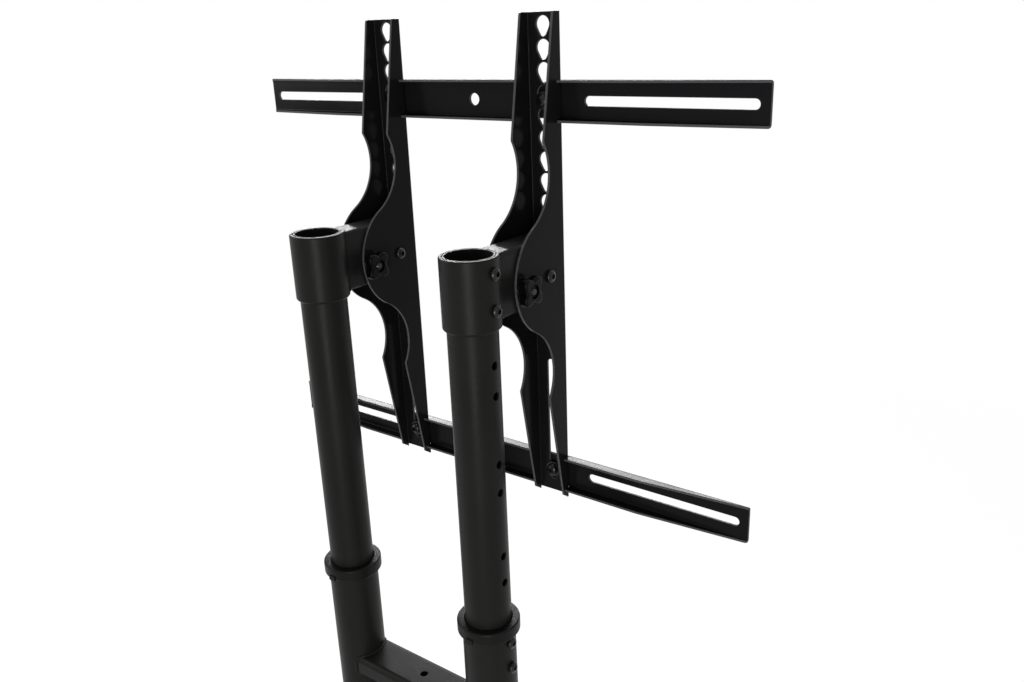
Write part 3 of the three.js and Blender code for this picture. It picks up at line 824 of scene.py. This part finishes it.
def bead(ring, axis):
    """A rippled weld along a closed path that goes round an axis."""
    path = resampled(ring, BEAD_STEP)
    count = len(path)
    ripples = round(count * BEAD_STEP / BEAD_RIPPLE)
    bm = bmesh.new()
    rings = []
    for i, point in enumerate(path):
        heading = (path[(i + 1) % count] - path[i - 1]).normalized()
        first = (axis - heading * axis.dot(heading)).normalized()
        second = heading.cross(first)
        wave = abs(sin(pi * ripples * i / count))
        swell = BEAD * (1 - BEAD_RIPPLE_SHARE + BEAD_RIPPLE_SHARE * wave)
        turns = (2 * pi * k / BEAD_SIDES for k in range(BEAD_SIDES))
        rings.append([
            bm.verts.new(point + first * (swell * cos(a)) + second * (swell * sin(a)))
            for a in turns
        ])
    for here, there in pairwise([*rings, rings[0]]):
        for k in range(BEAD_SIDES):
            m = (k + 1) % BEAD_SIDES
            bm.faces.new((here[k], here[m], there[m], there[k]))
    return finished(bm, "weld")


# Bracket

def flange_edge(top, bottom, pivot_depth):
    """The rear edge of a flange from its foot up, in depths and heights from the pivot."""
    lean = NECK_DEPTH - BELLY_DEPTH
    radius = (lean ** 2 + SCALLOP_OFFSET ** 2 - BELLY_RADIUS ** 2) / (2 * (BELLY_RADIUS - lean))
    meet = atan2(SCALLOP_OFFSET, lean + radius)
    belly = BELLY_DEPTH - pivot_depth
    centre = belly + lean + radius
    shoulder = acos((centre - (SHOULDER_DEPTH - pivot_depth)) / radius)
    bump = acos((centre - (BUMP_DEPTH - pivot_depth)) / radius)
    lower = arc(centre, -SCALLOP_OFFSET, radius, pi + bump, pi - meet)
    middle_arc = arc(belly, 0, BELLY_RADIUS, -meet, meet, 2 * ARC_STEPS)[1:-1]
    upper = arc(centre, SCALLOP_OFFSET, radius, pi + meet, pi - shoulder)
    foot = (FOOT_DEPTH - pivot_depth, bottom + FOOT_SLANT)
    head = (TOP_DEPTH - pivot_depth, top)
    web = -pivot_depth
    path = rounded_corner((web, bottom), foot, lower[0], OUTLINE_ROUNDING)
    path += rounded_corner(foot, lower[0], lower[1], OUTLINE_ROUNDING)
    path += lower[1:] + middle_arc + upper[:-1]
    path += rounded_corner(upper[-2], upper[-1], head, OUTLINE_ROUNDING)
    path += rounded_corner(upper[-1], head, (web, top), OUTLINE_ROUNDING)
    return path


def keyhole(height):
    lean = asin((KEYHOLE_HEAD_RADIUS - KEYHOLE_NECK_RADIUS) / KEYHOLE_RISE)
    head = arc(0, height + KEYHOLE_RISE, KEYHOLE_HEAD_RADIUS, -lean, pi + lean, ARC_STEPS)
    return head + arc(0, height, KEYHOLE_NECK_RADIUS, pi + lean, 2 * pi - lean, SMALL_ARC_STEPS)


def tilt_slot(reach, level):
    """The arc slot round the pivot, in depth and height from it."""
    def end(angle):
        return reach * cos(angle), reach * sin(angle)

    up = level + TILT_SLOT_UP
    down = level - TILT_SLOT_DOWN
    path = arc(0, 0, reach + BOLT_HOLE, down, up)
    path += arc(*end(up), BOLT_HOLE, up, up + pi, SMALL_ARC_STEPS)
    path += arc(0, 0, reach - BOLT_HOLE, up, down)
    return path + arc(*end(down), BOLT_HOLE, down - pi, down, SMALL_ARC_STEPS)


def make_bracket(name):
    node = f"bracket_{name}"
    low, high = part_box(node)
    pivot = tilt_pivot()
    top = high.z - pivot.z
    bottom = low.z - pivot.z
    flat = (high.x - low.x) / 2 - SHEET - FOLD_RADIUS
    straight = flat + (FOLD_RADIUS + SHEET / 2) * pi / 2
    behind = straight - (low.y - pivot.y + SHEET + FOLD_RADIUS)

    def unrolled(points, side=1):
        return [(side * (behind + depth), height) for depth, height in points]

    pivot_depth = pivot.y - low.y - SHEET
    step = (flat + straight) / 2
    foot = bottom + WEB_FOOT_RISE
    half = rounded_corner((0, foot), (step, foot), (step, bottom), WEB_FOOT_CORNER)
    half += [(step, bottom)] + unrolled(flange_edge(top, bottom, pivot_depth))
    outline = half + [(-x, y) for x, y in reversed(half)]
    rail = middle("upper_rail").z - pivot.z
    lower_bolt = middle(f"rail_bolt_lower_{name}").z - pivot.z
    knob = middle(f"knob_bolt_{name}") - pivot
    reach = hypot(knob.y, knob.z)
    level = atan2(knob.z, knob.y)
    holes = [keyhole(rail + (KEYHOLES_ABOVE_RAIL - i) * KEYHOLE_PITCH) for i in range(KEYHOLES)]
    holes.append(slot_outline(lower_bolt - WEB_SLOT_TAIL, -WEB_SLOT_TOP_DROP, WEB_SLOT_WIDTH / 2))
    for side in (-1, 1):
        holes.append(unrolled(tilt_slot(reach, level), side))
        holes.append(unrolled(circle(0, BOLT_HOLE), side))
    bm = bmesh.new()
    add_prism(bm, [outline, *holes], -SHEET / 2, SHEET / 2, SHEET_EDGE)
    fold(bm, flat)
    stand_up(bm, (AXIS_X, AXIS_Z, AXIS_Y), (middle(node).x, low.y, pivot.z))
    stand_for(node, finished(bm, node), "sheet_coat")


# Rails

def rail_edge(length, flat, bend, lip, crossings):
    """The upper edge of a rail's flat sheet, with notches for the brackets and tapered ends."""
    full = flat + bend + lip - FOLD_RADIUS
    narrow = flat + bend + RAIL_LIP_END - FOLD_RADIUS
    centre = flat + RAIL_NOTCH_RISE + RAIL_NOTCH_CORNER
    end = length / 2
    path = rounded_corner((0, -end), (narrow, -end), (full, -RAIL_LIP_STRAIGHT), RAIL_CORNER)
    path.append((full, -RAIL_LIP_STRAIGHT))
    for low, high in crossings:
        path.append((full, low))
        path += arc(centre, low + RAIL_NOTCH_CORNER, RAIL_NOTCH_CORNER, -pi / 2, -pi)
        path += arc(centre, high - RAIL_NOTCH_CORNER, RAIL_NOTCH_CORNER, pi, pi / 2)
        path.append((full, high))
    path.append((full, RAIL_LIP_STRAIGHT))
    return path + rounded_corner(path[-1], (narrow, end), (0, end), RAIL_CORNER)


def make_rail(node, has_centre_hole):
    """A channel folded towards the posts from a flat sheet."""
    low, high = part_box(node)
    centre = middle(node)
    flat = (high.z - low.z) / 2 - SHEET - FOLD_RADIUS
    bend = (FOLD_RADIUS + SHEET / 2) * pi / 2
    lip = high.y - low.y - SHEET
    bolts = [middle(f"bracket_{name}").x - centre.x for name, _ in SIDES]
    notch = size("bracket_left").x / 2 + RAIL_NOTCH_PLAY
    crossings = [(x - notch, x + notch) for x in bolts]
    edge = rail_edge(high.x - low.x, flat, bend, lip, crossings)
    loops = [edge + [(-x, y) for x, y in reversed(edge)]]
    radius = RAIL_SLOT_HEIGHT / 2
    for side in (-1, 1):
        inner = side * (RAIL_SLOT_INNER + radius)
        outer = side * (RAIL_SLOT_OUTER - radius)
        loops.append(slot_outline(inner, outer, radius))
    loops += [circle(x, BOLT_HOLE) for x in bolts]
    if has_centre_hole:
        loops.append(circle(0, RAIL_CENTRE_HOLE))
    bm = bmesh.new()
    add_prism(bm, loops, -SHEET / 2, SHEET / 2, SHEET_EDGE)
    fold(bm, flat)
    stand_up(bm, (AXIS_Z, AXIS_X, AXIS_Y), (centre.x, low.y, centre.z))
    stand_for(node, finished(bm, node), "sheet_coat")


# Fasteners, drawn with their tops at z = 0 and their shanks below

def cut_thread(bm, start, end):
    """Winds a thread between two heights. On a short bolt it touches the head as well."""
    for vert in bm.verts:
        x, y, z = vert.co
        radius = hypot(x, y)
        if not start < z < end or radius < SHANK / 2:
            continue
        phase = (z / THREAD_PITCH - atan2(y, x) / (2 * pi)) % 1
        share = 1 - THREAD_DEPTH * abs(2 * phase - 1) / radius
        vert.co.x *= share
        vert.co.y *= share


def shank_profile(length):
    """The shank's side from its tip up, with points close enough for the thread."""
    tip = -length
    steps = int(THREAD_LENGTH / (THREAD_PITCH / THREAD_RINGS))
    heights = [tip + TIP_BEVEL + THREAD_LENGTH * i / steps for i in range(steps + 1)]
    side = [(SHANK, z) for z in heights if z < -HEAD_HEIGHT - HEAD_CLEARANCE]
    return [(0, tip), (TIP_RADIUS, tip), *side]


def dome(radius, rise):
    """A dome's profile, from its rim up to its top at z = 0."""
    turns = quarter_turn(SMALL_ARC_STEPS)[:-1]
    return [(radius * cos(a), rise * sin(a) - rise) for a in turns] + [(0, 0)]


def bolt_mesh(name, length, head_height, head):
    """A bolt with a turned head and a thread."""
    bm = bmesh.new()
    add_turned(bm, [*shank_profile(length), (SHANK, -head_height), *head], BOLT_SIDES)
    cut_thread(bm, -length + TIP_BEVEL, -length + TIP_BEVEL + THREAD_LENGTH)
    return finished(bm, name)


def button_bolt(name, length):
    """A bolt with a domed head and a hexagon socket."""
    rim = [
        (HEAD_RADIUS - WASHER_EDGE, -HEAD_HEIGHT),
        (HEAD_RADIUS, -HEAD_HEIGHT + WASHER_EDGE),
    ]
    head = rim + dome(HEAD_RADIUS, HEAD_HEIGHT - HEAD_RIM)
    mesh = bolt_mesh(name, length, HEAD_HEIGHT, head)
    corner_radius = SOCKET_WIDTH / 2 / cos(pi / SOCKET_SIDES)
    span = (Vector((0, 0, -SOCKET_DEPTH)), SOCKET_DEPTH + OVERRUN)
    return cut(mesh, rods("socket", AXIS_Z, corner_radius, [span], SOCKET_SIDES))


def carriage_bolt(name, length, radius):
    head = dome(radius, CARRIAGE_HEAD_HEIGHT)
    return bolt_mesh(name, length, CARRIAGE_HEAD_HEIGHT, head)


def nut_mesh(name, height):
    """A hexagon nut with both faces turned to a cone at their corners."""
    flat = NUT_WIDTH / 2
    face_radius = flat * NUT_FACE_SHARE
    bm = bmesh.new()
    columns = []
    for i in range(BOLT_SIDES):
        angle = 2 * pi * i / BOLT_SIDES
        edge = flat / cos(angle % (pi / 3) - pi / 6)
        drop = (edge - face_radius) * tan(NUT_BEVEL)
        profile = (
            (BOLT_HOLE, 0), (face_radius, 0), (edge, -drop),
            (edge, drop - height), (face_radius, -height), (BOLT_HOLE, -height),
        )
        columns.append([bm.verts.new((r * cos(angle), r * sin(angle), z)) for r, z in profile])
    rings = list(zip(*columns))
    for first, second in pairwise([*rings, rings[0]]):
        for i in range(BOLT_SIDES):
            j = (i + 1) % BOLT_SIDES
            bm.faces.new((first[i], first[j], second[j], second[i]))
    return finished(bm, name)


def washer_mesh(name, radius, height):
    places = ((BOLT_HOLE, -height), (radius, -height), (radius, 0), (BOLT_HOLE, 0))
    corners = [(r, z, WASHER_EDGE) for r, z in places]
    return turned(name, rounded_profile(corners), BOLT_SIDES)


def facing(node, direction):
    """A place on the outer face of a node's box, with Z along a level direction."""
    return placed(face(node, direction), AXIS_Z, direction)


def length_along(node, direction):
    return abs(size(node).dot(direction))


def make_button_bolt(node, direction):
    mesh = button_bolt(node, length_along(node, direction))
    stand_for(node, mesh, "bolt_steel", facing(node, direction))


def make_nut(node, direction):
    mesh = nut_mesh(node, length_along(node, direction))
    stand_for(node, mesh, "bolt_steel", facing(node, direction))


def make_washer(node, direction):
    mesh = washer_mesh(node, size(node).z / 2, length_along(node, direction))
    stand_for(node, mesh, "bolt_steel", facing(node, direction))


def make_fasteners(name, sign):
    outward = AXIS_X * sign
    for i in (1, 2):
        make_button_bolt(f"lock_bolt_{name}_{i}", outward)
        make_button_bolt(f"sleeve_bolt_{name}_{i}", outward)
    make_button_bolt(f"pivot_bolt_{name}", -AXIS_X)
    make_nut(f"pivot_nut_{name}", AXIS_X)
    make_washer(f"knob_washer_{name}", -AXIS_X)
    node = f"knob_bolt_{name}"
    mesh = carriage_bolt(node, length_along(node, AXIS_X), size(node).z / 2)
    stand_for(node, mesh, "bolt_steel", facing(node, AXIS_X))
    for level in ("upper", "lower"):
        make_button_bolt(f"rail_bolt_{level}_{name}", AXIS_Y)
        make_washer(f"rail_washer_{level}_{name}", AXIS_Y)
        make_nut(f"rail_nut_{level}_{name}", -AXIS_Y)


# Knobs

def make_knob(name):
    """A four-lobed grip on a round boss, with a cup round the end of its bolt."""
    node = f"tilt_knob_{name}"
    low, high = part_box(node)
    height = high.x - low.x
    lobe_reach = KNOB_REACH - KNOB_HUB_RADIUS

    def edge(angle):
        wave = 0.5 - 0.5 * cos(KNOB_LOBES * angle)
        radius = KNOB_HUB_RADIUS + lobe_reach * wave ** KNOB_LOBE_POWER
        return radius * cos(angle), radius * sin(angle)

    outline = [edge(2 * pi * i / ROUND_SIDES) for i in range(ROUND_SIDES)]
    grip = prism(node, [outline], KNOB_BOSS_HEIGHT - height, 0, KNOB_EDGE, 2 * EDGE_STEPS)
    cup = rods("cup", AXIS_Z, KNOB_CUP_RADIUS, [(Vector((0, 0, -KNOB_CUP_DEPTH)), OVERRUN)])
    grip = cut(grip, cup)
    bm = bmesh.new()
    bm.from_mesh(grip)
    corners = [
        (BOLT_HOLE, -height, 0),
        (KNOB_BOSS_RADIUS, -height, FINE_EDGE),
        (KNOB_BOSS_RADIUS, -height / 2, 0),  # inside the grip
        (BOLT_HOLE, -height / 2, 0),
    ]
    add_turned(bm, rounded_profile(corners), BOLT_SIDES)
    stand_for(node, finished(bm, node), "knob_plastic", facing(node, -AXIS_X))


# Base

def make_base():
    low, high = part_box("base_beam")
    depth = high.y - low.y
    height = high.z - low.z
    beam = box_section("base_beam", depth, height, BASE_CORNER, BASE_WALL, high.x - low.x)
    beam.transform(placed(middle("base_beam"), AXIS_Y, AXIS_X))
    stand_for("base_beam", beam, "tube_coat")
    for name, sign in SIDES:
        node = f"foot_rail_{name}"
        width, length, tall = size(node)
        rail = box_section(node, width, tall, BASE_CORNER, BASE_WALL, length)
        rail.transform(placed(middle(node), AXIS_X, AXIS_Y))
        stand_for(node, rail, "tube_coat")
        outline = rounded_box(depth, height, BASE_CORNER)
        wall = middle(node).x - sign * width / 2
        ring = [Vector((wall, y, middle(node).z + z)) for y, z in outline]
        show(f"weld_beam_{name}", bead(ring, AXIS_X), "tube_coat", "base")
        post = middle(f"lower_tube_{name}")
        radius = size(f"lower_tube_{name}").x / 2
        ring = [Vector((post.x + x, post.y + y, high.z)) for x, y in circle(0, radius)]
        show(f"weld_post_{name}", bead(ring, AXIS_Z), "tube_coat", "base")
        for end, toward in (("front", -1), ("rear", 1)):
            make_end_cap(f"end_cap_{name}_{end}", AXIS_Y * toward)
            make_foot_pad(f"foot_pad_{name}_{end}")


def make_end_cap(node, direction):
    width, depth, tall = size(node)
    bm = bmesh.new()
    face_outline = rounded_box(width, tall, BASE_CORNER)
    add_prism(bm, [face_outline], -CAP_THICKNESS, 0, CAP_ROUNDING, 2 * EDGE_STEPS)
    inside = 2 * (BASE_WALL + GAP)
    plug = rounded_box(width - inside, tall - inside, BASE_CORNER - BASE_WALL)
    add_prism(bm, [plug], -depth, -CAP_THICKNESS / 2, FINE_EDGE)
    across = AXIS_X if direction.y < 0 else -AXIS_X
    matrix = placed(face(node, direction), across, direction)
    stand_for(node, finished(bm, node), "moulded_plastic", matrix)


def make_foot_pad(node):
    """A rubber foot with a groove round it."""
    width, _, tall = size(node)
    radius = width / 2
    groove = tall / 2
    corners = [
        (0, 0, 0),
        (radius - PAD_FOOT_INSET, 0, PAD_FOOT_EDGE),
        (radius, groove - PAD_GROOVE, PAD_GROOVE_RIM),
        (radius - PAD_GROOVE, groove, PAD_GROOVE_ROOT),
        (radius, groove + PAD_GROOVE, PAD_GROOVE_RIM),
        (radius, tall, PAD_TOP_EDGE),
        (0, tall, 0),
    ]
    mesh = turned(node, rounded_profile(corners, EDGE_STEPS)[:-1], PAD_SIDES)
    stand_for(node, mesh, "pad_rubber", Matrix.Translation(face(node, -AXIS_Z)))


# Studio

def seen_directly(add):
    """1 for camera, mirror and see-through rays, and 0 for the light that a surface gathers."""
    rays = add("ShaderNodeLightPath").outputs
    seen = calculated(add, "MAXIMUM", rays["Is Camera Ray"], rays["Is Glossy Ray"])
    return calculated(add, "MAXIMUM", seen, rays["Is Transmission Ray"])


def make_world():
    world = bpy.data.worlds.new("studio")
    bpy.context.scene.world = world
    world.use_nodes = True
    tree = world.node_tree
    tree.nodes.clear()
    add = node_adder(tree)
    dim = add("ShaderNodeBackground", {"Color": (1, 1, 1, 1), "Strength": AMBIENT})
    white = add("ShaderNodeBackground", {"Color": (1, 1, 1, 1), "Strength": 1.0})
    share = seen_directly(add)
    both = add("ShaderNodeMixShader", {0: share, 1: dim.outputs[0], 2: white.outputs[0]})
    add("ShaderNodeOutputWorld", {"Surface": both.outputs[0]})


def make_floor():
    half = FLOOR_SIZE / 2
    mesh = bpy.data.meshes.new("floor")
    corners = [(-half, -half, 0), (half, -half, 0), (half, half, 0), (-half, half, 0)]
    mesh.from_pydata(corners, [], [(0, 1, 2, 3)])
    floor = temporary(mesh)
    material = bpy.data.materials.new("floor")
    material.use_nodes = True
    tree = material.node_tree
    tree.nodes.clear()
    add = node_adder(tree)
    lit = add("ShaderNodeBsdfDiffuse", {"Color": (FLOOR_GREY, FLOOR_GREY, FLOOR_GREY, 1)})
    white = add("ShaderNodeEmission", {"Color": (1, 1, 1, 1), "Strength": 1.0})
    place = add("ShaderNodeTexCoord").outputs["Object"]
    away = add("ShaderNodeVectorMath", {0: place}, operation="LENGTH").outputs["Value"]
    fade = stretched(add, away, (FLOOR_FADE_FROM, FLOOR_FADE_TO), (FLOOR_WHITE_SHARE, 1.0))
    share = calculated(add, "MULTIPLY", seen_directly(add), fade)
    both = add("ShaderNodeMixShader", {0: share, 1: lit.outputs[0], 2: white.outputs[0]})
    add("ShaderNodeOutputMaterial", {"Surface": both.outputs[0]})
    mesh.materials.append(material)


def make_lamps():
    for name, place, target, width, height, power in LAMPS:
        light = bpy.data.lights.new(name, "AREA")
        light.shape = "RECTANGLE"
        light.size = width
        light.size_y = height
        light.energy = power
        lamp = bpy.data.objects.new(name, light)
        bpy.context.scene.collection.objects.link(lamp)
        lamp.location = place
        lamp.rotation_mode = "QUATERNION"
        lamp.rotation_quaternion = (Vector(target) - Vector(place)).to_track_quat("-Z", "Y")
        lamp.visible_camera = False


def make_camera():
    data = bpy.data.cameras.new("camera")
    data.sensor_width = SENSOR_MM
    data.lens = LENS_MM
    data.clip_start = CLIP_NEAR
    data.clip_end = CLIP_FAR
    camera = bpy.data.objects.new("camera", data)
    bpy.context.scene.collection.objects.link(camera)
    heading = Matrix.Rotation(radians(CAMERA_HEADING), 4, "Z")
    pitch = Matrix.Rotation(radians(90 + CAMERA_PITCH), 4, "X")
    roll = Matrix.Rotation(radians(CAMERA_ROLL), 4, "Z")
    camera.matrix_world = Matrix.Translation(CAMERA_PLACE) @ heading @ pitch @ roll
    bpy.context.scene.camera = camera


make_camera()
make_world()
make_floor()
make_lamps()
bpy.context.scene.view_settings.view_transform = "Standard"

for side_name, side_sign in SIDES:
    make_tubes(side_name, side_sign)
    make_sleeve(side_name, side_sign)
    make_collar(side_name)
    make_arm(side_name)
    make_bracket(side_name)
    make_knob(side_name)
    make_fasteners(side_name, side_sign)
    dressed(frame["nodes"][f"guide_bush_{side_name}"], "moulded_plastic")
make_crossbar()
make_rail("upper_rail", True)
make_rail("lower_rail", False)
make_base()
